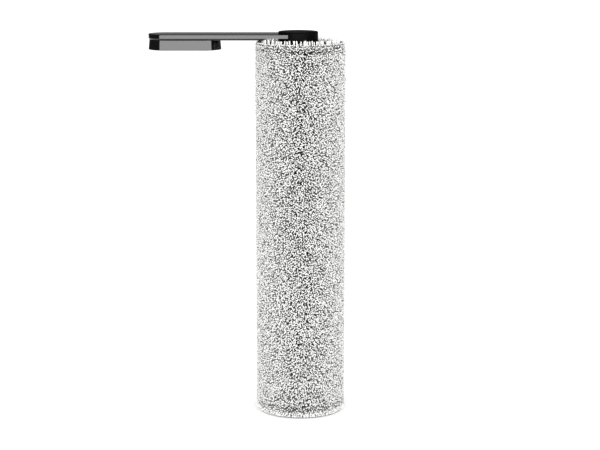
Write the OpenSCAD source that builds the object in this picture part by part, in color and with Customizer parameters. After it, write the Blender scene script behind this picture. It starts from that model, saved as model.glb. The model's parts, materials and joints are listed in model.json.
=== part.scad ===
// Brush roller of a wet and dry floor scrubber, with the carrier arm that holds its free end.
// The roller stands on its drive end: Z is the roller's axis and Z = 0 is the drive end's face.
// The arm turns on a ball bearing in the upper end cap and reaches out along -X.

/* [Roller] */
// Diameter over the tips of the fibres
pile_d = 56; // [54:1:70]
// Length of the pile along the roller
pile_len = 232; // [150:1:300]
// Length of the fibres
pile_t = 6.5; // [4:0.5:7]
// Thickness of the woven backing that carries the fibres
backing_t = 1; // [0.6:0.1:1.5]
// Wall of the core tube
tube_wall = 2; // [1.5:0.1:3]
// How far the fibres stop short of the drive end's face and of the upper tip plane
pile_inset = 0.4; // [0.3:0.1:1]
// How far the inner fibres at the upper end stand above those at the rim
pile_crown = 1; // [0:0.1:1]
// How far those inner fibres reach out past the backing
pile_crown_w = 2.4; // [1.5:0.1:3]
// Gap between the hub and the innermost fibres
pile_hub_gap = 1.9; // [1:0.1:3]

/* [End caps] */
// Thickness of each end cap's flange
flange_t = 2.6; // [2.2:0.1:4]
// Depth of the bearing cap's face below the fibre tips
cap_recess = 2.5; // [2:0.1:5]
// Wall of each plug inside the tube
plug_wall = 3; // [2.6:0.1:4]
// Thickness of the webs inside the bearing cap
web_t = 1.6; // [1.2:0.1:2.4]
// Number of webs inside the bearing cap
web_count = 6; // [3:1:9]
// Section diameter of the O-ring on each plug
o_ring_d = 1.6; // [1.2:0.1:2]

/* [Drive coupling] */
// Diameter of the round pilot bore at the mouth
pilot_d = 14; // [12:0.5:15]
// Length of the pilot bore
pilot_len = 8; // [5:0.5:10]
// Width across flats of the drive socket
socket_af = 10; // [8:0.5:11]
// Depth of the drive socket behind the pilot bore
socket_len = 9; // [6:0.5:12]
// Closed end behind the socket
socket_end_t = 2; // [1.5:0.1:3]
// Width across flats of the coupling's body
coupling_af = 18.8; // [17:0.2:20]
// Diameter of the coupling's flange
coupling_flange_d = 30; // [29:0.5:32]
// Thickness of the coupling's flange
coupling_flange_t = 1.6; // [1.5:0.1:2]
// Clearance all round the coupling in its pocket
coupling_gap = 0.1; // [0.05:0.05:0.2]
// Thread diameter of the coupling screws
coupling_screw_d = 3; // [2.5:0.1:3.2]
// Length of the coupling screws
coupling_screw_len = 10; // [8:0.5:14]
// Number of coupling screws
coupling_screw_count = 3; // [3:3:6]

/* [Ball bearing] */
// Bore of the inner race
bearing_bore = 8; // [7:0.5:10]
// Outer diameter of the outer race
bearing_od = 22; // [21:0.5:27]
// Width of both races
bearing_w = 7; // [6.6:0.2:9]
// Diameter of a ball
ball_d = 3.968; // [3.5:0.1:4.8]
// Number of balls
ball_count = 7; // [6:1:8]
// Free play between a ball and its grooves
ball_play = 0.02; // [0.01:0.01:0.05]
// Thickness of a sheet-metal shield
shield_t = 0.5; // [0.3:0.1:0.6]
// Thickness of the circlip above the bearing
circlip_t = 1; // [0.8:0.1:1.2]
// Height of the shaft seal
seal_h = 3; // [2.6:0.1:4]

/* [Spindle] */
// Running gap between the seal's lip and the spindle's shoulder
seal_gap = 0.05; // [0.02:0.01:0.1]
// Thread diameter of the screw that retains the inner race
race_screw_d = 4; // [3:0.5:5]
// Length of that screw's thread
race_screw_len = 9; // [6:0.5:10]
// Thickness of the washer under the inner race
race_washer_t = 1; // [0.8:0.1:1.5]

/* [Arm] */
// Reach of the arm from the roller's axis to its tip
arm_reach = 92.6; // [80:0.1:130]
// Width of the arm
arm_w = 21; // [18:0.5:28]
// Thickness of the arm
arm_t = 3.7; // [3.4:0.1:6]
// Gap between the fibre tips and the arm's underside
arm_gap = 0.1; // [0.1:0.1:2]
// Gap between the standing fibres and the edge of the arm's full thickness
relief_gap = 0.8; // [0.6:0.1:2]
// Side wall of the arm's shell
arm_wall = 2; // [1.6:0.1:3]
// Roof of the arm's shell
arm_roof = 1.3; // [1:0.1:2]
// Radius of the arm's upper edge
arm_top_r = 0.5; // [0.3:0.1:1]
// Radius of the arm's lower edge
arm_low_r = 1.2; // [0.4:0.1:1.4]
// Width of the steel stiffener
stiffener_w = 14; // [10:0.5:15]
// Thickness of the steel stiffener
stiffener_t = 1.2; // [1:0.1:1.5]
// Thickness of the plate that closes the arm from below
underplate_t = 0.8; // [0.6:0.1:1]
// Diameter of the stake pins that locate the stiffener
stake_d = 2.4; // [2:0.1:3]
// Number of stake pins
stake_count = 3; // [2:1:4]

/* [Hub] */
// How far the hub stands out past each side of the arm
hub_margin = 1.7; // [1.2:0.1:4]
// How far the hub's middle is set from the roller's axis towards the arm's tip
hub_offset = 1.4; // [0:0.1:2]
// How far the hub stands above the arm
hub_rise = 1.3; // [1:0.1:3]
// How far the hub reaches below the fibre tips
hub_drop = 1.5; // [0.5:0.1:2]
// Wall and floor of the hub's housing
hub_wall = 1.6; // [1.2:0.1:2]
// Radius of the hub cap's upper edge
hub_edge_r = 0.7; // [0.4:0.1:1]

/* [Pad] */
// Length of the pad block under the arm's tip
pad_len = 44.5; // [36:0.5:50]
// Height of the pad block
pad_h = 6; // [5.4:0.1:9]
// How much wider the block is at its foot than at its top, each side
pad_flare = 0.55; // [0:0.05:1]
// Side wall of the pad block
pad_wall = 1.6; // [1.2:0.1:2]
// Roof of the pad block and thickness of its base plate
pad_floor_t = 1.2; // [1:0.1:1.5]
// Diameter of each retaining magnet
magnet_d = 8; // [6:0.5:9]
// Thread diameter of the pad screws
pad_screw_d = 2.5; // [2:0.1:3]
// Distance of each pad screw from the middle of the nearer round end, towards that end
pad_screw_out = 2; // [0:0.5:3]

/* [Hidden] */

$fn = 96;
seat_lip = 1.5;   // thickness of the ledge under the outer race, and of the coupling pocket's wall
ledge_w = 2;      // width of that ledge, and of the plastic behind a pocket or a screw
cut = 1;          // how far a cutting shape runs past the face it opens
slip = 0.1;       // clearance of a part that drops into a recess
fit_gap = 0.05;   // clearance of a located part in its hole
boss_wall = 1.2;  // wall of the plastic round a screw
head_ratio = 0.95;    // radius of a countersunk head over its thread's diameter
groove_depth = 0.5;   // depth of the circlip's groove and of the shields' seats
screw_clear = 0.3;    // plastic left between a screw's head and the edge it stands beside

// Roller, from the outside in
pile_r = pile_d / 2;
backing_r = pile_r - pile_t;
tube_r = backing_r - backing_t;
plug_r = tube_r - tube_wall;
plug_in_r = plug_r - plug_wall;
cap_top_z = pile_len - cap_recess;
tube_z0 = flange_t;
tube_z1 = cap_top_z - flange_t;

// Drive coupling, from the mouth up
coupling_len = pilot_len + socket_len + socket_end_t;
pocket_af = coupling_af + 2 * coupling_gap;
pocket_floor_z = flange_t + ledge_w;
pocket_wall_r = pocket_af / 2 / cos(30) + seat_lip;
coupling_screw_head_r = coupling_screw_d * head_ratio;
coupling_screw_r = coupling_flange_d / 2 - coupling_screw_head_r - screw_clear;
coupling_boss_r = coupling_screw_d / 2 + boss_wall;
coupling_boss_h = coupling_screw_len + ledge_w;
coupling_screw_hole_h = coupling_screw_len + screw_clear;
drive_plug_z = coupling_len + 1;
drive_ring_z = drive_plug_z - 2.5 * o_ring_d;

// Stack inside the bearing cap, from its face down
seal_top_z = cap_top_z - 2 * slip;
seal_z = seal_top_z - seal_h;
circlip_groove_h = circlip_t + slip;
seal_ledge = 0.4;
bearing_top_z = seal_z - seal_ledge - circlip_groove_h;
bearing_z = bearing_top_z - bearing_w;
boss_z = bearing_z - seat_lip;
bearing_plug_z = boss_z - 1.5 * o_ring_d;
bearing_ring_z = bearing_plug_z + 2 * o_ring_d;
bearing_mid_z = bearing_z + bearing_w / 2;
seat_r = bearing_od / 2;
circlip_r = seat_r + groove_depth;
boss_r = circlip_r + ledge_w;

// Ball bearing
pitch_r = (bearing_bore + bearing_od) / 4;
ball_r = ball_d / 2;
groove_r = ball_r + 0.066;
groove_shift = groove_r - ball_r - ball_play;
inner_land_r = pitch_r - 0.35 * ball_d;
outer_land_r = pitch_r + 0.35 * ball_d;
shield_r = outer_land_r + 0.8;
shield_in_r = inner_land_r + 0.2;
shield_in_z = bearing_w / 2 - 0.3 - shield_t;
cage_half_w = ball_r + 0.3;
cage_in_r = inner_land_r + 0.6;
cage_out_r = outer_land_r - 0.5;
pocket_r = ball_r + 0.04;

// Arm, hub and pad, from the fibre tips
arm_z = pile_len + arm_gap;
arm_top_z = arm_z + arm_t;
arm_r = arm_w / 2;
arm_in_r = arm_r - arm_wall;
tip_x = arm_r - arm_reach;
arm_roof_z = arm_top_z - arm_roof;
stiffener_top_z = arm_roof_z;
stiffener_z = stiffener_top_z - stiffener_t;
stiffener_eye_r = bearing_bore / 2 + 4.5;
crown_out_r = backing_r + pile_crown_w;
relief_r = crown_out_r + relief_gap;
hub_r = arm_r + hub_margin;
hub_z = pile_len - hub_drop;
hub_in_r = hub_r - hub_wall;
crown_r = hub_offset + hub_r + pile_hub_gap;
rim_z = pile_len - pile_inset;
crown_z = rim_z + pile_crown;
pad_r = arm_r;
pad_top_r = pad_r - pad_flare;
pad_in_r = pad_top_r - pad_wall;
pad_z = arm_z - pad_h;
pad_inner_x = tip_x + pad_len - 2 * pad_r;
pad_edge = 0.3;
magnet_h = pad_h - 2 * pad_floor_t - 0.4;
pad_screw_head_r = pad_screw_d * head_ratio;
pad_screw_xs = [tip_x - pad_screw_out, pad_inner_x + pad_screw_out];
pad_boss_r = pad_screw_d / 2 + boss_wall;
magnet_mid_x = (tip_x + pad_inner_x) / 2;
magnet_room = pad_screw_xs[1] - pad_screw_xs[0] - 2 * pad_boss_r;
magnet_fit_d = min(magnet_d, (magnet_room - 0.8) / 2.3);
magnet_xs = [magnet_mid_x - magnet_fit_d * 0.65, magnet_mid_x + magnet_fit_d * 0.65];
stake_x0 = pad_inner_x + pad_r;
stake_pitch = (-hub_offset - hub_r - stake_x0) / (stake_count + 1);

// Spindle
shoulder_r = inner_land_r - 0.1;
neck_r = bearing_bore / 2 + 0.5;
neck_flat = neck_r * 0.85;
rivet_h = arm_top_z - stiffener_top_z - 0.2;
journal_short = 0.2;
race_screw_head_r = race_screw_d * 0.9;
race_screw_head_h = race_screw_d * 0.55;
race_washer_r = inner_land_r - 0.7;
race_washer_z = bearing_z - race_washer_t;

// Points of an arc about c, from angle a0 to angle a1
function arc(c, r, a0, a1, steps = 6) =
    [for (i = [0:steps]) let (a = a0 + (a1 - a0) * i / steps) c + r * [cos(a), sin(a)]];

// Round wall between two radii and two heights
module ring(r_out, r_in, z0, z1) {
    translate([0, 0, z0]) difference() {
        cylinder(r = r_out, h = z1 - z0);
        translate([0, 0, -cut]) cylinder(r = r_in, h = z1 - z0 + 2 * cut);
    }
}

// Six-sided bar, flats facing Y
module hex_bar(af, z0, z1) {
    translate([0, 0, z0]) cylinder(r = af / 2 / cos(30), h = z1 - z0, $fn = 6);
}

// Half of a cross-section with rounded or square outer corners, from the middle outwards
module half_section(w, h, top_r, low_r) {
    polygon(concat(
        [[0, 0]],
        arc([w - low_r, low_r], low_r, -90, 0),
        arc([w - top_r, h - top_r], top_r, 0, 90),
        [[0, h]]
    ));
}

// Bar along X that carries the half-section given as its child, with a half-turned end at x0
module round_ended_bar(x0, x1, z) {
    translate([x0, 0, z]) {
        rotate([0, 0, 90]) rotate_extrude(angle = 180) children();
        rotate([90, 0, 90]) linear_extrude(x1 - x0) {
            children();
            mirror([1, 0]) children();
        }
    }
}

// The same bar with a half-turned end at x1 too
module round_block(x0, x1, z) {
    round_ended_bar(x0, x1, z) children();
    translate([x1, 0, z]) rotate([0, 0, -90]) rotate_extrude(angle = 180) children();
}

// The round column that the hub fills, at a given radius
module hub_column(r, z0, z1) {
    translate([-hub_offset, 0, z0]) cylinder(r = r, h = z1 - z0);
}

// Countersunk screw with its head's face at z = 0 and its thread along +Z
module countersunk_screw(thread_r, head_r, len) {
    socket_r = thread_r * 0.55;
    difference() {
        union() {
            cylinder(r1 = head_r, r2 = thread_r, h = head_r - thread_r);
            cylinder(r = thread_r, h = len);
        }
        translate([0, 0, -cut]) cylinder(r = socket_r, h = cut + thread_r * 0.7, $fn = 6);
    }
}

// Hole and countersink for the same screw
module countersunk_hole(thread_r, head_r, len) {
    translate([0, 0, -cut]) cylinder(r = thread_r, h = len + cut);
    cylinder(r1 = head_r, r2 = thread_r, h = head_r - thread_r);
}

// Places its children round the axis, at a radius
module around(count, r) {
    for (i = [0:count - 1]) rotate([0, 0, 360 * i / count + 90]) translate([r, 0, 0]) children();
}

// Groove for an O-ring in a plug, its middle at height z
module o_ring_groove(z) {
    ring(plug_r + cut, plug_r - o_ring_d, z - 0.7 * o_ring_d, z + 0.7 * o_ring_d);
}

module core_tube() {
    color("gainsboro") ring(tube_r, plug_r, tube_z0, tube_z1);
}

module pile_backing() {
    color("dimgray") ring(backing_r, tube_r, tube_z0, tube_z1);
}

// Sleeve of fibres, which at the upper end also lean in over the bearing cap
module pile() {
    lean_z = cap_top_z + slip;
    color("white") rotate_extrude() polygon([
        [backing_r, pile_inset], [pile_r, pile_inset], [pile_r, rim_z], [crown_out_r, rim_z],
        [crown_out_r - pile_crown, crown_z], [crown_r, crown_z], [crown_r, lean_z], [backing_r, lean_z]
    ]);
}

module drive_end_cap() {
    color([0.05, 0.05, 0.05]) difference() {
        union() {
            cylinder(r = backing_r, h = flange_t);
            cylinder(r = plug_r, h = pocket_floor_z);
            ring(plug_r, plug_in_r, flange_t, drive_plug_z);
            cylinder(r = pocket_wall_r, h = coupling_len);
            around(coupling_screw_count, coupling_screw_r)
                cylinder(r = coupling_boss_r, h = coupling_boss_h);
        }
        hex_bar(pocket_af, -cut, drive_plug_z);
        translate([0, 0, -cut]) cylinder(d = coupling_flange_d + 2 * coupling_gap, h = coupling_flange_t + cut);
        around(coupling_screw_count, coupling_screw_r)
            translate([0, 0, -cut]) cylinder(d = coupling_screw_d, h = coupling_screw_hole_h + cut);
        o_ring_groove(drive_ring_z);
    }
}

module drive_coupling() {
    color("ivory") difference() {
        union() {
            cylinder(d = coupling_flange_d, h = coupling_flange_t);
            hex_bar(coupling_af, 0, coupling_len);
        }
        translate([0, 0, -cut]) cylinder(d = pilot_d, h = pilot_len + cut);
        hex_bar(socket_af, 0, pilot_len + socket_len);
        around(coupling_screw_count, coupling_screw_r)
            countersunk_hole(coupling_screw_d / 2 + fit_gap, coupling_screw_head_r, coupling_flange_t + cut);
    }
}

module coupling_screws() {
    color("silver") around(coupling_screw_count, coupling_screw_r)
        countersunk_screw(coupling_screw_d / 2, coupling_screw_head_r, coupling_screw_len);
}

module bearing_end_cap() {
    root = 0.5;
    color([0.06, 0.06, 0.06]) difference() {
        union() {
            ring(backing_r, seat_r, tube_z1, cap_top_z);
            ring(plug_r, plug_in_r, bearing_plug_z, tube_z1);
            ring(boss_r, seat_r - ledge_w, boss_z, tube_z1);
            for (i = [0:web_count - 1]) rotate([0, 0, 360 * i / web_count])
                translate([boss_r - root, -web_t / 2, boss_z])
                    cube([plug_r - boss_r, web_t, tube_z1 - boss_z]);
        }
        translate([0, 0, bearing_z]) cylinder(r = seat_r, h = cap_top_z - bearing_z + cut);
        translate([0, 0, bearing_top_z]) cylinder(r = circlip_r, h = circlip_groove_h);
        o_ring_groove(bearing_ring_z);
    }
}

module plug_o_rings() {
    color([0.1, 0.1, 0.1]) for (z = [drive_ring_z, bearing_ring_z])
        translate([0, 0, z]) rotate_extrude() translate([plug_r - o_ring_d / 2, 0]) circle(d = o_ring_d);
}

module race_groove(r) {
    translate([0, 0, bearing_mid_z]) rotate_extrude() translate([r, 0]) circle(r = groove_r);
}

module bearing_outer_race() {
    color("silver") difference() {
        ring(bearing_od / 2, outer_land_r, bearing_z, bearing_top_z);
        race_groove(pitch_r - groove_shift);
        for (side = [0, 1]) mirror_about_bearing(side)
            ring(shield_r, shield_in_r, bearing_mid_z + shield_in_z, bearing_top_z + cut);
    }
}

// Turns its children to the bearing's other face when side is 1
module mirror_about_bearing(side) {
    translate([0, 0, bearing_mid_z]) mirror([0, 0, side]) translate([0, 0, -bearing_mid_z]) children();
}

module bearing_inner_race() {
    color("silver") difference() {
        ring(inner_land_r, bearing_bore / 2, bearing_z, bearing_top_z);
        race_groove(pitch_r + groove_shift);
    }
}

module bearing_shields() {
    color("lightgray") for (side = [0, 1]) mirror_about_bearing(side)
        ring(shield_r, shield_in_r, bearing_mid_z + shield_in_z, bearing_mid_z + shield_in_z + shield_t);
}

module bearing_balls() {
    color("whitesmoke") around(ball_count, pitch_r) translate([0, 0, bearing_mid_z]) sphere(r = ball_r);
}

module bearing_cage() {
    color("tan") difference() {
        ring(cage_out_r, cage_in_r, bearing_mid_z - cage_half_w, bearing_mid_z + cage_half_w);
        around(ball_count, pitch_r) translate([0, 0, bearing_mid_z]) sphere(r = pocket_r);
    }
}

// Snap ring with a gap and two lugs for pliers
module bearing_circlip() {
    band = 1.8;
    lug_r = 1.3;
    lug_hole_r = 0.6;
    gap_half = 14;
    lug_turn = gap_half + 5;
    lug_x = circlip_r - band - 0.3;
    color("dimgray") translate([0, 0, bearing_top_z]) difference() {
        union() {
            ring(circlip_r, circlip_r - band, 0, circlip_t);
            for (side = [-1, 1]) rotate([0, 0, side * lug_turn])
                translate([lug_x, 0, 0]) cylinder(r = lug_r, h = circlip_t);
        }
        rotate([0, 0, -gap_half]) rotate_extrude(angle = 2 * gap_half)
            translate([lug_x - lug_r - cut, -cut]) square([band + lug_r + 2 * cut + 0.3, circlip_t + 2 * cut]);
        for (side = [-1, 1]) rotate([0, 0, side * lug_turn])
            translate([lug_x, 0, -cut]) cylinder(r = lug_hole_r, h = circlip_t + 2 * cut);
    }
}

// Rubber seal: a band in the cap's bore, a web and a lip that leans on the spindle's shoulder
module shaft_seal() {
    band = 1.4;
    web = 0.9;
    lip_r = shoulder_r + seal_gap;
    color([0.12, 0.12, 0.12]) translate([0, 0, seal_z]) rotate_extrude() polygon([
        [seat_r, 0], [seat_r, seal_h], [seat_r - band, seal_h], [seat_r - band, web],
        [lip_r + 1.6, web], [lip_r + 0.9, seal_h * 0.8], [lip_r, seal_h * 0.7], [lip_r + 0.7, 0]
    ]);
}

// Steel pin: journal, shoulder, flatted neck and a head riveted over the stiffener
module spindle() {
    color("silver") difference() {
        union() {
            translate([0, 0, bearing_z + journal_short])
                cylinder(d = bearing_bore, h = bearing_top_z - bearing_z);
            translate([0, 0, bearing_top_z]) cylinder(r = shoulder_r, h = stiffener_z - bearing_top_z);
            translate([0, 0, stiffener_z]) neck(0, stiffener_t);
            translate([0, 0, stiffener_top_z]) cylinder(r1 = neck_r + 1, r2 = neck_r, h = rivet_h);
        }
        translate([0, 0, bearing_z]) cylinder(d = race_screw_d, h = race_screw_len);
    }
}

// Flatted neck that keeps the spindle from turning in the stiffener
module neck(gap, h) {
    intersection() {
        cylinder(r = neck_r + gap, h = h);
        translate([-neck_r - cut, -neck_flat - gap, 0]) cube([2 * (neck_r + cut), 2 * (neck_flat + gap), h]);
    }
}

module race_washer() {
    color("silver") ring(race_washer_r, race_screw_d / 2 + fit_gap, race_washer_z, bearing_z);
}

module race_screw() {
    color("silver") translate([0, 0, race_washer_z]) difference() {
        union() {
            translate([0, 0, -race_screw_head_h]) cylinder(r = race_screw_head_r, h = race_screw_head_h);
            cylinder(d = race_screw_d, h = race_screw_len);
        }
        translate([0, 0, -race_screw_head_h - cut])
            cylinder(r = race_screw_d * 0.3, h = race_screw_head_h * 0.6 + cut, $fn = 6);
    }
}

// The arm is cut back to its stiffener where it passes over the standing fibres
module arm_shell() {
    color([0.08, 0.08, 0.08]) {
        difference() {
            round_ended_bar(tip_x, -hub_offset, arm_z) half_section(arm_r, arm_t, arm_top_r, arm_low_r);
            round_ended_bar(tip_x, 0, arm_z - cut) square([arm_in_r, arm_roof_z - arm_z + cut]);
            hub_column(hub_r, arm_z - cut, arm_top_z + cut);
            translate([0, 0, arm_z - cut]) cylinder(r = relief_r, h = stiffener_z - arm_z + cut);
        }
        for (i = [1:stake_count]) translate([stake_x0 + i * stake_pitch, 0, stiffener_z])
            cylinder(d = stake_d, h = arm_roof_z - stiffener_z);
    }
}

module arm_stiffener() {
    half_w = stiffener_w / 2;
    end_x = tip_x - arm_in_r / 2;
    color("silver") translate([0, 0, stiffener_z]) difference() {
        union() {
            linear_extrude(stiffener_t) polygon([
                [0, -half_w], [0, half_w], [end_x + 2, half_w], [end_x, half_w - 2],
                [end_x, 2 - half_w], [end_x + 2, -half_w]
            ]);
            cylinder(r = stiffener_eye_r, h = stiffener_t);
        }
        translate([0, 0, -cut]) neck(fit_gap, stiffener_t + 2 * cut);
        for (x = pad_screw_xs) translate([x, 0, -cut]) cylinder(d = pad_screw_d, h = stiffener_t + 2 * cut);
        for (i = [1:stake_count]) translate([stake_x0 + i * stake_pitch, 0, -cut])
            cylinder(d = stake_d + 2 * fit_gap, h = stiffener_t + 2 * cut);
    }
}

module arm_underplate() {
    color([0.1, 0.1, 0.1]) difference() {
        round_ended_bar(tip_x, 0, arm_z) square([arm_in_r - slip, underplate_t]);
        translate([0, 0, arm_z - cut]) cylinder(r = relief_r, h = underplate_t + 2 * cut);
        for (x = pad_screw_xs) translate([x, 0, arm_z - cut])
            cylinder(d = pad_screw_d + 2 * fit_gap, h = underplate_t + 2 * cut);
    }
}

module hub_housing() {
    foot_edge = 0.4;
    color([0.07, 0.07, 0.07]) difference() {
        translate([-hub_offset, 0, hub_z]) rotate_extrude() polygon([
            [0, 0], [hub_r - foot_edge, 0], [hub_r, foot_edge], [hub_r, arm_top_z - hub_z], [0, arm_top_z - hub_z]
        ]);
        hub_column(hub_in_r, hub_z + hub_wall, arm_top_z + cut);
        translate([0, 0, hub_z - cut]) cylinder(r = shoulder_r + fit_gap, h = hub_wall + 2 * cut);
        translate([-hub_offset - hub_r - cut, -stiffener_w / 2 - slip, stiffener_z])
            cube([hub_r, stiffener_w + 2 * slip, stiffener_t + slip]);
    }
}

module hub_cap() {
    spigot_h = 0.8;
    spigot_wall = 1.2;
    color([0.07, 0.07, 0.07]) translate([-hub_offset, 0, 0]) {
        translate([0, 0, arm_top_z]) rotate_extrude() polygon(concat(
            [[0, 0], [hub_r, 0]],
            arc([hub_r - hub_edge_r, hub_rise - hub_edge_r], hub_edge_r, 0, 90),
            [[0, hub_rise]]
        ));
        ring(hub_in_r - fit_gap, hub_in_r - spigot_wall, arm_top_z - spigot_h, arm_top_z);
    }
}

module pad_housing() {
    color([0.08, 0.08, 0.08]) {
        difference() {
            round_block(tip_x, pad_inner_x, pad_z) polygon([
                [0, 0], [pad_r - pad_edge, 0], [pad_r, pad_edge], [pad_top_r, pad_h], [0, pad_h]
            ]);
            round_block(tip_x, pad_inner_x, pad_z - cut) square([pad_in_r, pad_h - pad_floor_t + cut]);
            for (x = pad_screw_xs) translate([x, 0, arm_z - pad_floor_t - cut])
                cylinder(d = pad_screw_d + 2 * fit_gap, h = pad_floor_t + 2 * cut);
        }
        for (x = pad_screw_xs) translate([x, 0, 0])
            ring(pad_boss_r, pad_screw_d / 2 + fit_gap, pad_z + pad_floor_t, arm_z - pad_floor_t);
    }
}

module pad_base() {
    color([0.1, 0.1, 0.1]) difference() {
        round_block(tip_x, pad_inner_x, pad_z) square([pad_in_r - slip, pad_floor_t]);
        for (x = pad_screw_xs) translate([x, 0, pad_z])
            countersunk_hole(pad_screw_d / 2 + fit_gap, pad_screw_head_r, pad_floor_t + cut);
    }
}

module pad_magnets() {
    color("silver") for (x = magnet_xs) translate([x, 0, pad_z + pad_floor_t])
        cylinder(d = magnet_fit_d, h = magnet_h);
}

module pad_screws() {
    color("silver") for (x = pad_screw_xs) translate([x, 0, pad_z])
        countersunk_screw(pad_screw_d / 2, pad_screw_head_r, stiffener_top_z - pad_z);
}

core_tube();
pile_backing();
pile();
drive_end_cap();
drive_coupling();
coupling_screws();
bearing_end_cap();
plug_o_rings();
bearing_outer_race();
bearing_shields();
bearing_circlip();
shaft_seal();
bearing_cage();
bearing_balls();
bearing_inner_race();
spindle();
race_washer();
race_screw();
arm_shell();
arm_stiffener();
arm_underplate();
hub_housing();
hub_cap();
pad_housing();
pad_base();
pad_magnets();
pad_screws();
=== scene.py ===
"""Brush roller of a wet and dry floor scrubber with its carrier arm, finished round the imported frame.

All lengths are metres in the frame's own axes: Z is the roller's axis, the floor is Z = 0 and the arm
reaches along -X. The fibres of the pile are built here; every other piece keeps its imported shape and
gets its finish here.
"""
import json
import logging
import math
from dataclasses import dataclass
from enum import Enum

import bpy
import numpy as np
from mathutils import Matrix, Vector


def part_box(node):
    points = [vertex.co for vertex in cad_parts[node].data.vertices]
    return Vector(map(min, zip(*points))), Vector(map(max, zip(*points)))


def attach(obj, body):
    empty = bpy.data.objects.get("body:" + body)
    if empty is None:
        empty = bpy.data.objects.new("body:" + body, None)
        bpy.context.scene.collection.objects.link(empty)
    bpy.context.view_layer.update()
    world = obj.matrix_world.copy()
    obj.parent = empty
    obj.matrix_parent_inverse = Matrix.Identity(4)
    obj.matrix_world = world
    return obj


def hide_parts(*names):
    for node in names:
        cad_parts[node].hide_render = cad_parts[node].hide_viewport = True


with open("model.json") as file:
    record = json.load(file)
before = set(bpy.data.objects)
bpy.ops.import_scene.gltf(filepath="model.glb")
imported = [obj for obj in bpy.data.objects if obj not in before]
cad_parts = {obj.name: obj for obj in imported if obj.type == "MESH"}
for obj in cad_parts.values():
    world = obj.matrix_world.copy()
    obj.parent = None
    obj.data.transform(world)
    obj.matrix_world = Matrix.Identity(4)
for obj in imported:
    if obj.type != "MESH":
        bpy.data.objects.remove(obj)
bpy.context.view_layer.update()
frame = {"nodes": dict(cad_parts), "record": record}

MM = 0.001
SEED = 20
STRIPS = 64          # strips of the pile's map, one tone of fibre to a strip
PAINTED_SHADE_STRIPS = 16     # the first of them, for the tufts that stand lower than their neighbours, painted in shade
STRIP_MARGIN = 0.15  # share of a strip's width left free on either side of a tuft's faces
ROOT_FACE_V = 0.02   # how far up the map the small face at a tuft's root reaches
NOISE_LOW, NOISE_HIGH = 0.3, 0.7    # most values of a noise texture lie between these
LOG = logging.getLogger("scrubber_roller")


class Body(Enum):
    """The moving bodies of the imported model."""

    ROLLER = "roller"
    BALL_TRAIN = "ball_train"
    ARM = "arm"


class Lay(Enum):
    """Which way a tool or a rolling mill leaves its marks on metal."""

    TURNED = "turned"
    DRAWN = "drawn"
    TUMBLED = "tumbled"


# ---------------------------------------------------------------------------------------------
# Helpers for colour, nodes and meshes
# ---------------------------------------------------------------------------------------------


def linear(hex_colour: str) -> tuple[float, float, float, float]:
    """Turns an sRGB hex colour into the linear colour that shaders take.

    Args:
        hex_colour: Six hex digits after a hash sign.

    Returns:
        Linear red, green and blue with an alpha of 1.
    """
    channels = [int(hex_colour[i:i + 2], 16) / 255 for i in (1, 3, 5)]
    return tuple(c / 12.92 if c <= 0.04045 else ((c + 0.055) / 1.055) ** 2.4 for c in channels) + (1.0,)


def add(tree: bpy.types.NodeTree, kind: str, props: dict | None = None, **inputs) -> bpy.types.Node:
    """Adds one shader node, sets its properties and fills its inputs.

    Args:
        tree: The node tree that takes the node.
        kind: The node's type without its ShaderNode prefix.
        props: Properties of the node itself.
        inputs: Input names with underscores for spaces, or i0, i1 and so on for an input's number.
            Each is a plain value, or an output socket to link.

    Returns:
        The new node.
    """
    node = tree.nodes.new("ShaderNode" + kind)
    for name, value in (props or {}).items():
        setattr(node, name, value)
    for name, value in inputs.items():
        numbered = name[0] == "i" and name[1:].isdigit()
        socket = node.inputs[int(name[1:])] if numbered else node.inputs[name.replace("_", " ")]
        if isinstance(value, bpy.types.NodeSocket):
            tree.links.new(value, socket)
        else:
            socket.default_value = value
    return node


def per_metre(size_mm: float) -> float:
    """Texture scale at which one period of a pattern is size_mm long."""
    return 1 / (size_mm * MM)


def mesh_object(name: str, points: np.ndarray, quads: np.ndarray, tris: np.ndarray,
                uv: np.ndarray | None = None) -> bpy.types.Object:
    """Puts whole arrays of points and faces into a new mesh object at the origin.

    Args:
        name: Name of the object and of its mesh.
        points: (n, 3) positions in metres.
        quads: (q, 4) point numbers of the four-sided faces.
        tris: (t, 3) point numbers of the three-sided faces.
        uv: One (u, v) for each corner, the quads' corners first, or None for no map.

    Returns:
        The object, linked to the scene.
    """
    corners = np.concatenate([quads.ravel(), tris.ravel()]).astype(np.int32)
    sizes = np.concatenate([np.full(len(quads), 4), np.full(len(tris), 3)])
    starts = (np.cumsum(sizes) - sizes).astype(np.int32)
    mesh = bpy.data.meshes.new(name)
    mesh.vertices.add(len(points))
    mesh.vertices.foreach_set("co", points.astype(np.float32).ravel())
    mesh.loops.add(len(corners))
    mesh.loops.foreach_set("vertex_index", corners)
    mesh.polygons.add(len(starts))
    mesh.polygons.foreach_set("loop_start", starts)
    mesh.polygons.foreach_set("use_smooth", np.ones(len(starts), bool))
    if uv is not None:
        layer = mesh.uv_layers.new(name="OFBake")
        layer.data.foreach_set("uv", uv.astype(np.float32).ravel())
    mesh.update(calc_edges=True)
    mesh.validate()
    piece = bpy.data.objects.new(name, mesh)
    bpy.context.scene.collection.objects.link(piece)
    return piece


# ---------------------------------------------------------------------------------------------
# Finishes
# ---------------------------------------------------------------------------------------------


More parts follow.
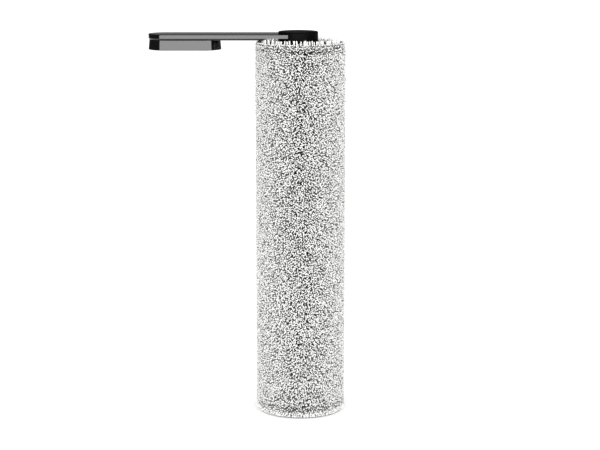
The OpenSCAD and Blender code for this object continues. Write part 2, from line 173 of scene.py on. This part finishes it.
@dataclass(frozen=True)
class Finish:
    """A material named for the real one, with the values that are the same all over it."""

    name: str
    colour: str
    roughness: float
    ior: float = 1.5
    metallic: float = 0.0
    specular: float = 0.5

    def material(self) -> bpy.types.Material:
        """Builds the node material.

        Returns:
            The material with its constants on the shader and its pattern from dress().
        """
        material = bpy.data.materials.new(self.name)
        material.use_nodes = True
        tree = material.node_tree
        shader = tree.nodes["Principled BSDF"]
        shader.inputs["Base Color"].default_value = linear(self.colour)
        shader.inputs["Roughness"].default_value = self.roughness
        shader.inputs["Metallic"].default_value = self.metallic
        shader.inputs["Specular IOR Level"].default_value = self.specular
        if not self.metallic:
            shader.inputs["IOR"].default_value = self.ior
        self.dress(tree, shader)
        return material

    def dress(self, tree: bpy.types.NodeTree, shader: bpy.types.Node) -> None:
        """Adds the finish's own pattern; a plain finish has none."""


@dataclass(frozen=True)
class MouldedPlastic(Finish):
    """Injection-moulded plastic: the tool's texture as fine grain, and faint clouds where it flowed."""

    grain_mm: float = 0.5
    grain_depth_mm: float = 0.01
    cloud_mm: float = 14.0
    cloud_depth: float = 0.05
    cloud_gain: float = 1.25
    cloud_lift: float = 0.002

    def dress(self, tree: bpy.types.NodeTree, shader: bpy.types.Node) -> None:
        """Grain drives a bump; clouds drive the roughness and a slight shift of the colour.

        Args:
            tree: The material's node tree.
            shader: Its Principled BSDF.
        """
        place = add(tree, "TexCoord").outputs["Object"]
        grain = add(tree, "TexNoise", Vector=place, Scale=per_metre(self.grain_mm), Detail=3.0)
        cloud = add(tree, "TexNoise", Vector=place, Scale=per_metre(self.cloud_mm), Detail=2.0)
        rough = add(tree, "MapRange", Value=cloud.outputs["Fac"], From_Min=NOISE_LOW, From_Max=NOISE_HIGH,
                    To_Min=self.roughness - self.cloud_depth, To_Max=self.roughness + self.cloud_depth)
        base = linear(self.colour)
        paler = tuple(min(1.0, c * self.cloud_gain + self.cloud_lift) for c in base[:3]) + (1.0,)
        tint = add(tree, "Mix", {"data_type": "RGBA"}, i0=cloud.outputs["Fac"], i6=base, i7=paler)
        bump = add(tree, "Bump", Strength=1.0, Distance=self.grain_depth_mm * MM,
                   Height=grain.outputs["Fac"])
        tree.links.new(tint.outputs[2], shader.inputs["Base Color"])
        tree.links.new(rough.outputs[0], shader.inputs["Roughness"])
        tree.links.new(bump.outputs["Normal"], shader.inputs["Normal"])


@dataclass(frozen=True)
class WorkedMetal(Finish):
    """Metal that keeps the marks of how it was worked, as lines of changing gloss and depth."""

    lay: Lay = Lay.TURNED
    mark_mm: float = 0.15
    mark_depth_mm: float = 0.004
    gloss_change: float = 0.25
    drawn_stretch: float = 0.02

    def dress(self, tree: bpy.types.NodeTree, shader: bpy.types.Node) -> None:
        """Stretches noise along the lay: round the Z axis, along X, or not at all.

        Args:
            tree: The material's node tree.
            shader: Its Principled BSDF.
        """
        place = add(tree, "TexCoord").outputs["Object"]
        if self.lay is Lay.TURNED:
            axis = add(tree, "SeparateXYZ", Vector=place)
            flat = add(tree, "CombineXYZ", X=axis.outputs["X"], Y=axis.outputs["Y"])
            radius = add(tree, "VectorMath", {"operation": "LENGTH"}, i0=flat.outputs[0])
            place = add(tree, "CombineXYZ", X=radius.outputs["Value"], Z=axis.outputs["Z"]).outputs[0]
        elif self.lay is Lay.DRAWN:
            place = add(tree, "Mapping", Vector=place, Scale=(self.drawn_stretch, 1.0, 1.0)).outputs[0]
        marks = add(tree, "TexNoise", Vector=place, Scale=per_metre(self.mark_mm), Detail=2.0)
        rough = add(tree, "MapRange", Value=marks.outputs["Fac"], From_Min=NOISE_LOW, From_Max=NOISE_HIGH,
                    To_Min=self.roughness * (1 - self.gloss_change),
                    To_Max=self.roughness * (1 + self.gloss_change))
        bump = add(tree, "Bump", Strength=1.0, Distance=self.mark_depth_mm * MM,
                   Height=marks.outputs["Fac"])
        tree.links.new(rough.outputs[0], shader.inputs["Roughness"])
        tree.links.new(bump.outputs["Normal"], shader.inputs["Normal"])


@dataclass(frozen=True)
class PileFibre(Finish):
    """White nylon fibre in tufts: white at the cut tips, with painted shade that greys each tuft down towards
    the backing.

    The map runs across a tuft in 64 strips, one tone to a strip, and from root to tip in v. Between
    shade_from and shade_to in v the root's painted grey shade turns to the tip's white. The first strips
    belong to the shorter tufts, which are painted in shade, in greys of their own.
    """

    # Grey painted at the roots as the shade that falls between the tufts
    root: str = "#828282"
    # Greys painted on the shorter tufts as the shade they stand in
    sunk_in_painted_shade: str = "#565656"
    sunk_painted_shade_pale: str = "#848484"
    shade_from: float = 0.86
    shade_to: float = 1.0
    dullest: float = 0.82
    filament_share: float = 0.2
    filament_depth_mm: float = 0.05

    def dress(self, tree: bpy.types.NodeTree, shader: bpy.types.Node) -> None:
        """Ramps from the root's painted shade to the tip's colour along v, with one tone for each strip.

        Args:
            tree: The material's node tree.
            shader: Its Principled BSDF.
        """
        uv = add(tree, "UVMap", {"uv_map": "OFBake"}).outputs["UV"]
        part = add(tree, "SeparateXYZ", Vector=uv)
        across = add(tree, "Math", {"operation": "MULTIPLY"}, i0=part.outputs["X"], i1=float(STRIPS))
        strip = add(tree, "Math", {"operation": "FLOOR"}, i0=across.outputs[0])
        shade = add(tree, "TexWhiteNoise", {"noise_dimensions": "1D"}, W=strip.outputs[0])
        # Painted shade: below shade_to the tuft greys towards the root's colour, which it reaches at
        # shade_from
        high = add(tree, "MapRange", {"interpolation_type": "SMOOTHSTEP"}, Value=part.outputs["Y"],
                   From_Min=self.shade_from, From_Max=self.shade_to)
        pale = linear(self.colour)
        dull = tuple(c * self.dullest for c in pale[:3]) + (1.0,)
        low = add(tree, "Math", {"operation": "LESS_THAN"}, i0=strip.outputs[0], i1=float(PAINTED_SHADE_STRIPS))
        fresh = add(tree, "Mix", {"data_type": "RGBA"}, i0=shade.outputs["Value"], i6=dull, i7=pale)
        # The shorter tufts' painted shade, one grey for each strip
        shaded = add(tree, "Mix", {"data_type": "RGBA"}, i0=shade.outputs["Value"],
                     i6=linear(self.sunk_in_painted_shade), i7=linear(self.sunk_painted_shade_pale))
        tip = add(tree, "Mix", {"data_type": "RGBA"}, i0=low.outputs[0], i6=fresh.outputs[2],
                  i7=shaded.outputs[2])
        colour = add(tree, "Mix", {"data_type": "RGBA"}, i0=high.outputs[0], i6=linear(self.root),
                     i7=tip.outputs[2])
        stretched = add(tree, "CombineXYZ", X=across.outputs[0], Y=part.outputs["Y"])
        filaments = add(tree, "TexNoise", Vector=stretched.outputs[0], Scale=1 / self.filament_share)
        bump = add(tree, "Bump", Strength=0.3, Distance=self.filament_depth_mm * MM,
                   Height=filaments.outputs["Fac"])
        tree.links.new(colour.outputs[2], shader.inputs["Base Color"])
        tree.links.new(bump.outputs["Normal"], shader.inputs["Normal"])


@dataclass(frozen=True)
class WovenBacking(Finish):
    """Grey woven tape wound round the core: warp and weft crowns, about 1 mm apart, with painted shade in the
    valleys between them.
    """

    thread_mm: float = 1.0
    thread_depth_mm: float = 0.15
    # Share of the colour left in the weave's valleys, as painted shade
    valley_painted_shade: float = 0.5
    radius: float = 21.5 * MM

    def dress(self, tree: bpy.types.NodeTree, shader: bpy.types.Node) -> None:
        """Multiplies a wave round the roller by a wave along it, so that crowns stand at each crossing; the
        colour darkens to painted shade in the valleys between them.

        Args:
            tree: The material's node tree.
            shader: Its Principled BSDF.
        """
        axis = add(tree, "SeparateXYZ", Vector=add(tree, "TexCoord").outputs["Object"])
        turn = add(tree, "Math", {"operation": "ARCTAN2"}, i0=axis.outputs["Y"], i1=axis.outputs["X"])
        waves = []
        for value, factor in ((turn.outputs[0], self.radius), (axis.outputs["Z"], 1.0)):
            phase = add(tree, "Math", {"operation": "MULTIPLY"}, i0=value,
                        i1=factor * math.pi * per_metre(self.thread_mm))
            waves.append(add(tree, "Math", {"operation": "SINE"}, i0=phase.outputs[0]).outputs[0])
        crown = add(tree, "Math", {"operation": "MULTIPLY"}, i0=waves[0], i1=waves[1])
        level = add(tree, "MapRange", Value=crown.outputs[0], From_Min=-1.0)
        # Painted shade for the valleys between the crowns
        dark = tuple(c * self.valley_painted_shade for c in linear(self.colour)[:3]) + (1.0,)
        tint = add(tree, "Mix", {"data_type": "RGBA"}, i0=level.outputs[0], i6=dark, i7=linear(self.colour))
        bump = add(tree, "Bump", Strength=0.6, Distance=self.thread_depth_mm * MM, Height=level.outputs[0])
        tree.links.new(tint.outputs[2], shader.inputs["Base Color"])
        tree.links.new(bump.outputs["Normal"], shader.inputs["Normal"])


FINISHES: dict[str, Finish] = {
    # Soft white tufts that scatter light, with no shine of their own, and painted shade at the roots and on
    # the shorter tufts
    "pile_fibre": PileFibre("nylon_pile_fibre", "#FBFBF9", 0.85, specular=0.2),
    # Dull dark grey tape, seen only as shade between the tufts, with painted shade in the valleys of its
    # weave
    "backing_cloth": WovenBacking("woven_polyester_backing", "#4A4A4B", 0.9, specular=0.2),
    # Mirror-like black, moulded in a polished tool: grey where it faces a lamp, black elsewhere
    "arm_gloss": MouldedPlastic("gloss_black_ABS", "#050505", 0.06, grain_mm=2.5, grain_depth_mm=0.0006,
                                cloud_depth=0.02),
    # Same black, from a spark-eroded tool, so it stays dark from every side
    "hub_plastic": MouldedPlastic("eroded_black_PBT", "#040404", 0.42, specular=0.035, grain_mm=0.45,
                                  grain_depth_mm=0.008),
    # Slightly waxy black with a fine grain
    "cap_plastic": MouldedPlastic("moulded_black_polypropylene", "#0A0A0B", 0.45, ior=1.49, specular=0.4),
    # Pale grey extrusion with a silky skin
    "tube_plastic": MouldedPlastic("extruded_grey_polypropylene", "#C9C9C6", 0.4, ior=1.49, grain_mm=0.8),
    # Milky, slippery and a little translucent to the eye
    "acetal": MouldedPlastic("moulded_acetal", "#E6E2D2", 0.3, ior=1.48, grain_mm=0.6, grain_depth_mm=0.004),
    # Warm beige with a matte, fibre-filled skin
    "cage_nylon": MouldedPlastic("glass_filled_nylon", "#B9A277", 0.6, ior=1.53, grain_mm=0.25,
                                 grain_depth_mm=0.02),
    # Dull black with the soft bloom of moulded rubber
    "seal_rubber": MouldedPlastic("nitrile_rubber", "#141414", 0.75, ior=1.52, specular=0.3, grain_mm=0.3,
                                  grain_depth_mm=0.015, cloud_depth=0.1),
    # Bright rings left by the turning tool
    "steel": WorkedMetal("turned_zinc_plated_steel", "#BDBDBA", 0.32, metallic=1.0, lay=Lay.TURNED),
    # Hard and bright, with only the finest grinding marks
    "bearing_steel": WorkedMetal("ground_bearing_steel", "#C6C6C5", 0.14, metallic=1.0, lay=Lay.TURNED,
                                 mark_mm=0.08, mark_depth_mm=0.001),
    # Rolled sheet with fine lines one way
    "shield_steel": WorkedMetal("cold_rolled_sheet_steel", "#B4B4B3", 0.38, metallic=1.0, lay=Lay.DRAWN),
    # Dark, oiled phosphate skin
    "spring_steel": WorkedMetal("phosphated_spring_steel", "#5A5A5C", 0.5, metallic=1.0, lay=Lay.TUMBLED,
                                mark_mm=0.3),
    # Slightly warm barrel-plated skin
    "magnet": WorkedMetal("nickel_plated_magnet", "#C9C4BA", 0.22, metallic=1.0, lay=Lay.TUMBLED,
                          mark_mm=0.4, mark_depth_mm=0.002),
}


# ---------------------------------------------------------------------------------------------
# Pile
# ---------------------------------------------------------------------------------------------


@dataclass
class Tufts:
    """Tufts of fibre, each a bent spike given by a root, a middle pull and a tip in (n, 3) arrays."""

    root: np.ndarray
    pull: np.ndarray
    tip: np.ndarray
    half_width: np.ndarray
    # Tufts that stand lower, which the map paints in shade
    sunk_in_painted_shade: np.ndarray

    @classmethod
    def gathered(cls, sets: list["Tufts"]) -> "Tufts":
        """Returns several sets of tufts as one, in their order."""
        return cls(*(np.concatenate([getattr(tufts, n) for tufts in sets]) for n in cls.__dataclass_fields__))

    def picked(self, keep: np.ndarray) -> "Tufts":
        """Returns the tufts that a boolean array picks."""
        return Tufts(*(getattr(self, n)[keep] for n in self.__dataclass_fields__))


@dataclass(frozen=True)
class RimRing:
    """One ring of upright tufts at the rim, in millimetres; below is how far tips stay under the top."""

    count: int
    root_radius: float
    tip_radius: float
    below: float
    half_width: float


@dataclass(frozen=True)
class FootRing:
    """One ring of tufts that fan out at the foot, in millimetres."""

    count: int
    root_height: float
    tip_radius: float
    tip_height: float


@dataclass
class Pile:
    """The roller's coat of fibre tufts, in bands that each stay light enough to print.

    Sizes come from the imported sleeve: core is its inner radius, reach its outer, top its highest point.
    levels are the places of a tuft's rings along its curve, and swell their share of its half width.
    The bends, the sways, rim_ragged and rim_spread are in millimetres, as the rings' own sizes are.
    sunk_reach and full_reach are shares of a tuft's length, and the widths are shares of half_width.
    """

    core: float
    reach: float
    top: float
    backing_low: float
    backing_high: float
    pitch: float = 0.8 * MM
    half_width: float = 0.41 * MM
    sunk_share: float = 0.12
    floor_gap: float = 0.8 * MM
    rim_gap: float = 1.9 * MM
    crown_radius: float = 23.8 * MM
    crown_depth: float = 0.9 * MM
    above_backing: float = 1.2 * MM
    scatter: float = 0.32
    swirl_bend: float = 0.25
    loose_bend: float = 0.45
    fan_up: float = 3.5 * MM
    fan_up_degrees: float = 40.0
    fan_down: float = 5.0 * MM
    fan_down_degrees: float = 50.0
    foot_root_radius: float = 22.5 * MM
    foot_half_width: float = 0.45 * MM
    # Where the rim's and the foot's tufts start on the map, so that little painted shade reaches them
    edge_v: float = 0.9
    edge_scatter: float = 0.3
    rim_sway: float = 0.8
    rim_ragged: float = 0.9
    rim_spread: float = 0.6
    rim_pull_drop: float = 1.8 * MM
    foot_sway: float = 0.5
    sunk_reach: tuple[float, float] = (0.76, 0.97)
    full_reach: tuple[float, float] = (0.86, 1.0)
    tilt_loss: float = 0.55
    middle_out: float = 0.62
    middle_turn: float = 0.3
    middle_rise: float = 0.4
    coat_widths: tuple[float, float] = (0.8, 1.15)
    edge_widths: tuple[float, float] = (0.85, 1.15)
    sides: int = 4
    bands: int = 6
    levels: tuple[float, ...] = (0.0, 0.95)
    swell: tuple[float, ...] = (0.85, 1.0)
    rim_rings: tuple[RimRing, ...] = (
        RimRing(128, 24.9, 27.0, 3.6, 0.40),
        RimRing(110, 24.6, 26.0, 2.0, 0.44),
        RimRing(76, 23.4, 23.5, -0.5, 0.54),
        RimRing(26, 22.2, 21.2, 0.3, 0.50),
    )
    foot_rings: tuple[FootRing, ...] = (
        FootRing(128, 4.4, 27.6, 1.9),
        FootRing(128, 3.2, 27.6, 0.8),
        FootRing(110, 2.2, 26.4, 0.7),
    )

    @classmethod
    def from_frame(cls) -> "Pile":
        """Reads the sleeve's and the backing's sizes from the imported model.

        Returns:
            The pile, sized to them.
        """
        low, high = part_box("pile")
        backing_low, backing_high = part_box("pile_backing")
        return cls(core=backing_high.y, reach=high.y, top=high.z, backing_low=backing_low.z,
                   backing_high=backing_high.z)

    @staticmethod
    def around(radius: np.ndarray, turn: np.ndarray, height: np.ndarray) -> np.ndarray:
        """Points at (radius cos turn, radius sin turn, height)."""
        return np.stack([radius * np.cos(turn), radius * np.sin(turn), height], axis=-1)

    @staticmethod
    def swirl(rng: np.random.Generator, turn: np.ndarray, height: np.ndarray) -> np.ndarray:
        """A smooth random field on the cylinder: the sum of 40 sine waves that close on themselves round it.

        Args:
            rng: Source of the waves' directions and phases.
            turn: Angle round the roller, in radians.
            height: Height on the roller, in metres.

        Returns:
            Values of about unit size.
        """
        round_count = rng.integers(-16, 17, 40)
        rise = rng.uniform(-1, 1, 40) * 2 * math.pi / (9 * MM)
        phase = rng.uniform(0, 2 * math.pi, 40)
        waves = np.sin(np.outer(turn, round_count) + np.outer(height, rise) + phase)
        return waves.sum(axis=1) / math.sqrt(20)

    def coat(self, rng: np.random.Generator) -> Tufts:
        """The tufts round the side: rows in brick bond, each tuft pulled off the radius by the swirl.

        A tuft goes from the backing to the sleeve's radius. Over the last fan_up below the top its
        direction tips up, and over the first fan_down above the foot it tips down, both with the power
        1.5 of how far along that stretch it stands.

        Args:
            rng: Source of every tuft's own shift.

        Returns:
            The tufts.
        """
        columns = round(2 * math.pi * self.reach / self.pitch)
        low, high = self.backing_low, self.backing_high + self.above_backing
        rows = round((high - low) / self.pitch)
        row, column = np.divmod(np.arange(rows * columns), columns)
        jitter = rng.uniform(-self.scatter, self.scatter, (2, rows * columns))
        turn = (column + 0.5 * (row % 2) + jitter[0]) * 2 * math.pi / columns
        height = low + (row + 0.5 + jitter[1]) * (high - low) / rows
        length = self.reach - self.core
        up = np.clip((height - (high - self.fan_up)) / self.fan_up, 0, 1)
        down = np.clip((low + self.fan_down - height) / self.fan_down, 0, 1)
        tilt = np.radians(self.fan_up_degrees * up ** 1.5 - self.fan_down_degrees * down ** 1.5)
        # The shorter tufts, which the map paints in shade
        sunk_in_painted_shade = rng.random(len(turn)) < self.sunk_share
        stretch = np.where(sunk_in_painted_shade, rng.uniform(*self.sunk_reach, len(turn)),
                           rng.uniform(*self.full_reach, len(turn)))
        tip_radius = self.core + length * stretch * (1 - self.tilt_loss * (1 - np.cos(tilt)))
        tip_height = height + length * stretch * np.sin(tilt)
        side_pull, rise_pull = ((self.swirl_bend * self.swirl(rng, turn, height)
                                 + rng.normal(0, self.loose_bend, len(turn))) * MM for _ in range(2))
        calm = 1 - np.maximum(up, down)
        tip_turn = turn + side_pull / self.reach
        tip_height = np.clip(tip_height + rise_pull * calm, self.floor_gap, self.top - self.rim_gap)
        root = self.around(np.full(len(turn), self.core - 0.1 * MM), turn, height)
        tip = self.around(tip_radius, tip_turn, tip_height)
        middle = self.around(self.core + self.middle_out * (tip_radius - self.core),
                             turn + self.middle_turn * side_pull / self.reach,
                             height + self.middle_rise * (tip_height - height))
        width = self.half_width * rng.uniform(*self.coat_widths, len(turn))
        return Tufts(root, middle, tip, width, sunk_in_painted_shade)

    def rim(self, rng: np.random.Generator) -> Tufts:
        """The upright tufts of the upper rim, a few of which lean in over the bearing cap.

        Args:
            rng: Source of every tuft's own shift.

        Returns:
            The tufts.
        """
        sets = []
        for ring in self.rim_rings:
            count = ring.count
            shift = rng.uniform(-self.edge_scatter, self.edge_scatter, count)
            turn = (np.arange(count) + shift) * 2 * math.pi / count
            tip_turn = turn + rng.normal(0, self.rim_sway, count) / ring.tip_radius
            tip_height = self.top - (ring.below + rng.uniform(0, self.rim_ragged, count)) * MM
            tip_radius = (ring.tip_radius + rng.normal(0, self.rim_spread, count)) * MM
            crown = tip_height > self.top - self.crown_depth
            tip_radius = np.where(crown, np.minimum(tip_radius, self.crown_radius), tip_radius)
            pull_radius = (ring.root_radius * 0.8 + ring.tip_radius * 0.2 + 0.5) * MM
            root = self.around(np.full(count, ring.root_radius * MM), turn,
                               np.full(count, self.backing_high))
            pull = self.around(np.full(count, pull_radius), turn,
                               np.full(count, self.top - self.rim_pull_drop))
            tip = self.around(tip_radius, tip_turn, tip_height)
            half_width = ring.half_width * MM * rng.uniform(*self.edge_widths, count)
            sets.append(Tufts(root, pull, tip, half_width, np.zeros(count, bool)))
        return Tufts.gathered(sets)

    def foot(self, rng: np.random.Generator) -> Tufts:
        """The tufts that fan out and down at the drive end and stop just above the floor.

        Args:
            rng: Source of every tuft's own shift.

        Returns:
            The tufts.
        """
        sets = []
        for ring in self.foot_rings:
            count = ring.count
            shift = rng.uniform(-self.edge_scatter, self.edge_scatter, count)
            turn = (np.arange(count) + shift) * 2 * math.pi / count
            tip_turn = turn + rng.normal(0, self.foot_sway, count) / ring.tip_radius
            root = self.around(np.full(count, self.foot_root_radius), turn,
                               np.full(count, ring.root_height * MM))
            pull = self.around(np.full(count, (ring.tip_radius - 0.6) * MM), turn,
                               np.full(count, (ring.root_height + 0.4) * MM))
            tip = self.around((ring.tip_radius + rng.uniform(-0.4, 0.3, count)) * MM, tip_turn,
                              (ring.tip_height + rng.uniform(-0.15, 0.6, count)) * MM)
            half_width = self.foot_half_width * rng.uniform(*self.edge_widths, count)
            sets.append(Tufts(root, pull, tip, half_width, np.zeros(count, bool)))
        return Tufts.gathered(sets)

    def spikes(self, name: str, tufts: Tufts, rng: np.random.Generator,
               root_v: float = 0.0) -> bpy.types.Object:
        """Carries a four-sided ring along each tuft's curve and closes it in a point.

        The curve is (1-t)^2 root + 2t(1-t) pull + t^2 tip. At each level t the ring's corners stand at
        half_width times swell(t) from the curve, square to its direction. The last point is the tip.

        Args:
            name: Name of the piece.
            tufts: The tufts to build.
            rng: Source of each tuft's roll and strip of the map.
            root_v: Where on the map the root lies, from 0, in full painted shade, to 1, as bright as the tip.

        Returns:
            The mesh object.
        """
        count, rings, sides = len(tufts.root), len(self.levels), self.sides
        t = np.array(self.levels)[None, :, None]
        p0, p1, p2 = (a[:, None, :] for a in (tufts.root, tufts.pull, tufts.tip))
        curve = (1 - t) ** 2 * p0 + 2 * t * (1 - t) * p1 + t ** 2 * p2
        along = 2 * (1 - t) * (p1 - p0) + 2 * t * (p2 - p1)
        along /= np.linalg.norm(along, axis=-1, keepdims=True)
        turn = np.arctan2(tufts.root[:, 1], tufts.root[:, 0])
        beside = np.stack([-np.sin(turn), np.cos(turn), np.zeros(count)], axis=-1)[:, None, :]
        across = np.cross(along, beside)
        across /= np.linalg.norm(across, axis=-1, keepdims=True)
        beside = np.cross(across, along)
        roll = rng.uniform(0, math.pi, count)[:, None] + np.arange(sides) * 2 * math.pi / sides
        roll = roll[:, None, :, None]
        size = (tufts.half_width[:, None] * np.array(self.swell))[:, :, None, None]
        ring = curve[:, :, None, :] + size * (np.cos(roll) * across[:, :, None, :]
                                              + np.sin(roll) * beside[:, :, None, :])
        points = np.concatenate([ring.reshape(count, -1, 3), tufts.tip[:, None, :]], axis=1)

        side = np.arange(sides)
        after = (side + 1) % sides
        wall = np.concatenate([np.stack([k * sides + side, (k + 1) * sides + side,
                                         (k + 1) * sides + after, k * sides + after], axis=-1)
                               for k in range(rings - 1)])
        end = (rings - 1) * sides
        point = np.stack([end + side, np.full(sides, rings * sides), end + after], axis=-1)
        first = (np.arange(count) * (rings * sides + 1))[:, None, None]
        quads = (first + np.concatenate([wall, side[None]])[None]).reshape(-1, 4)
        tris = (first + point[None]).reshape(-1, 3)

        near, far = STRIP_MARGIN, 1 - STRIP_MARGIN
        left, right = near + (far - near) * side / sides, near + (far - near) * (side + 1) / sides
        v = root_v + (1 - root_v) * np.array(self.levels + (1.0,))
        wall_uv = np.concatenate([np.stack([np.stack([left, np.full(sides, v[k])], -1),
                                            np.stack([left, np.full(sides, v[k + 1])], -1),
                                            np.stack([right, np.full(sides, v[k + 1])], -1),
                                            np.stack([right, np.full(sides, v[k])], -1)], axis=1)
                                  for k in range(rings - 1)])
        root_top = v[0] + ROOT_FACE_V
        root_uv = np.array([[[near, v[0]], [near, root_top], [far, root_top], [far, v[0]]]])
        point_uv = np.stack([np.stack([left, np.full(sides, v[-2])], -1),
                             np.stack([(left + right) / 2, np.ones(sides)], -1),
                             np.stack([right, np.full(sides, v[-2])], -1)], axis=1)
        # The shorter tufts take the strips painted in shade
        strip = np.where(tufts.sunk_in_painted_shade, rng.integers(0, PAINTED_SHADE_STRIPS, count),
                         rng.integers(PAINTED_SHADE_STRIPS, STRIPS, count))[:, None, None, None]
        shift, scale = np.array([1.0, 0.0]), np.array([1 / STRIPS, 1.0])
        quad_uv = (np.concatenate([wall_uv, root_uv])[None] + strip * shift) * scale
        tri_uv = (point_uv[None] + strip * shift) * scale
        uv = np.concatenate([quad_uv.reshape(-1, 2), tri_uv.reshape(-1, 2)])
        return mesh_object(name, points.reshape(-1, 3), quads, tris, uv)

    def build(self, material: bpy.types.Material) -> list[bpy.types.Object]:
        """Builds the bands of the pile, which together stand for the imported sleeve.

        Args:
            material: The fibre's material.

        Returns:
            The bands, riding on the roller.
        """
        rng = np.random.default_rng(SEED)
        coat = self.coat(rng)
        level = coat.root[:, 2]
        cuts = np.linspace(level.min(), level.max() + MM, self.bands + 1)
        sets = {f"pile_band_{i + 1}": (coat.picked((level >= cuts[i]) & (level < cuts[i + 1])), 0.0)
                for i in range(self.bands)}
        sets["pile_rim"] = (self.rim(rng), self.edge_v)
        sets["pile_foot"] = (self.foot(rng), self.edge_v)
        bands = []
        for name, (tufts, root_v) in sets.items():
            band = self.spikes(name, tufts, rng, root_v)
            band.data.materials.append(material)
            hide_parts("pile")
            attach(band, Body.ROLLER.value)
            LOG.info("%s: %d tufts", name, len(tufts.root))
            bands.append(band)
        return bands


# ---------------------------------------------------------------------------------------------
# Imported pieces
# ---------------------------------------------------------------------------------------------


@dataclass
class PackedPieces:
    """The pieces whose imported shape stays, dressed in the finish of their slot in the record."""

    finishes: dict[str, bpy.types.Material]

    def dress(self) -> None:
        """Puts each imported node's material on it."""
        for entry in frame["record"]["subparts"]:
            node = frame["nodes"][entry["node"]]
            material = self.finishes[entry["material_slot"]]
            node.data.materials.clear()
            node.data.materials.append(material)
            LOG.info("%s: %s", node.name, material.name)


# ---------------------------------------------------------------------------------------------
# Studio
# ---------------------------------------------------------------------------------------------


@dataclass(frozen=True)
class Panel:
    """A flat softbox panel: where its middle is, its width and height, its tilt and its brightness."""

    name: str
    place: tuple[float, float, float]
    size: tuple[float, float]
    tilt: float
    radiance: float


@dataclass
class Studio:
    """White floor, white surroundings, long softbox panels that glossy surfaces mirror, and the camera."""

    eye: tuple[float, float, float] = (-0.0003, -1.0, 0.3096)
    look_down: float = 10.90
    lens_mm: float = 98.2
    sensor_mm: float = 36.0
    floor_x: float = 1.8
    floor_y: tuple[float, float] = (-0.9, 8.0)
    floor_colour: str = "#F4F4F4"
    sky: float = 1.3
    sky_in_gloss: float = 0.06
    fill: float = 1.8
    fill_down: float = 12.0
    fill_spread: float = 30.0
    panels: tuple[Panel, ...] = (
        Panel("front_panel", (0.3, -1.5, 0.28), (3.1, 0.5), 90.0, 7.2),
        Panel("back_panel", (0.0, 3.0, 0.62), (6.0, 1.0), -90.0, 0.13),
    )

    def camera(self) -> None:
        """Stands the camera in front of the roller, looking slightly down along +Y."""
        data = bpy.data.cameras.new("camera")
        data.lens, data.sensor_width = self.lens_mm, self.sensor_mm
        camera = bpy.data.objects.new("camera", data)
        camera.location = self.eye
        camera.rotation_euler = (math.radians(90 - self.look_down), 0, 0)
        bpy.context.scene.collection.objects.link(camera)
        bpy.context.scene.camera = camera

    def floor(self) -> None:
        """Lays the floor as one flat sheet at Z = 0."""
        x, (near, far) = self.floor_x, self.floor_y
        corners = np.array([[-x, near, 0], [x, near, 0], [x, far, 0], [-x, far, 0]])
        sheet = mesh_object("studio_floor", corners, np.array([[0, 1, 2, 3]]), np.empty((0, 3), int))
        paper = Finish("white_paper_sweep", self.floor_colour, 0.95, specular=0.0)
        sheet.data.materials.append(paper.material())

    def surroundings(self) -> None:
        """White to the camera and to matt surfaces, dimmer in reflections, as a dark studio is."""
        world = bpy.data.worlds.new("studio")
        world.use_nodes = True
        tree = world.node_tree
        rays = add(tree, "LightPath")
        strength = add(tree, "Mix", {"data_type": "FLOAT"}, i0=rays.outputs["Is Glossy Ray"], i2=self.sky,
                       i3=self.sky_in_gloss)
        tree.links.new(strength.outputs[0], tree.nodes["Background"].inputs["Strength"])
        tree.nodes["Background"].inputs["Color"].default_value = (1.0, 1.0, 1.0, 1.0)
        bpy.context.scene.world = world

    def hang_panels(self) -> None:
        """Hangs the reflector panels, which show only in glossy surfaces."""
        for panel in self.panels:
            wide, high = panel.size
            data = bpy.data.lights.new(panel.name, "AREA")
            data.shape, data.size, data.size_y = "RECTANGLE", wide, high
            data.energy = panel.radiance * math.pi * wide * high
            light = bpy.data.objects.new(panel.name, data)
            light.location = panel.place
            light.rotation_euler = (math.radians(panel.tilt), 0, 0)
            light.visible_camera = light.visible_diffuse = False
            bpy.context.scene.collection.objects.link(light)

    def front_fill(self) -> None:
        """Sends soft light in from over the camera, deep enough to reach between the tufts that face it."""
        data = bpy.data.lights.new("front_fill", "SUN")
        data.energy, data.angle = self.fill, math.radians(self.fill_spread)
        light = bpy.data.objects.new("front_fill", data)
        light.rotation_euler = (math.radians(90 - self.fill_down), 0, 0)
        light.visible_glossy = False
        bpy.context.scene.collection.objects.link(light)

    def build(self) -> None:
        """Sets the whole studio up."""
        bpy.context.scene.view_settings.view_transform = "Standard"
        self.camera()
        self.floor()
        self.surroundings()
        self.hang_panels()
        self.front_fill()


def main() -> None:
    """Builds the pile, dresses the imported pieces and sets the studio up."""
    logging.basicConfig(level=logging.INFO, format="%(name)s: %(message)s")
    materials = {slot: finish.material() for slot, finish in FINISHES.items()}
    PackedPieces(materials).dress()
    Pile.from_frame().build(materials["pile_fibre"])
    Studio().build()


if __name__ == "__main__":
    main()
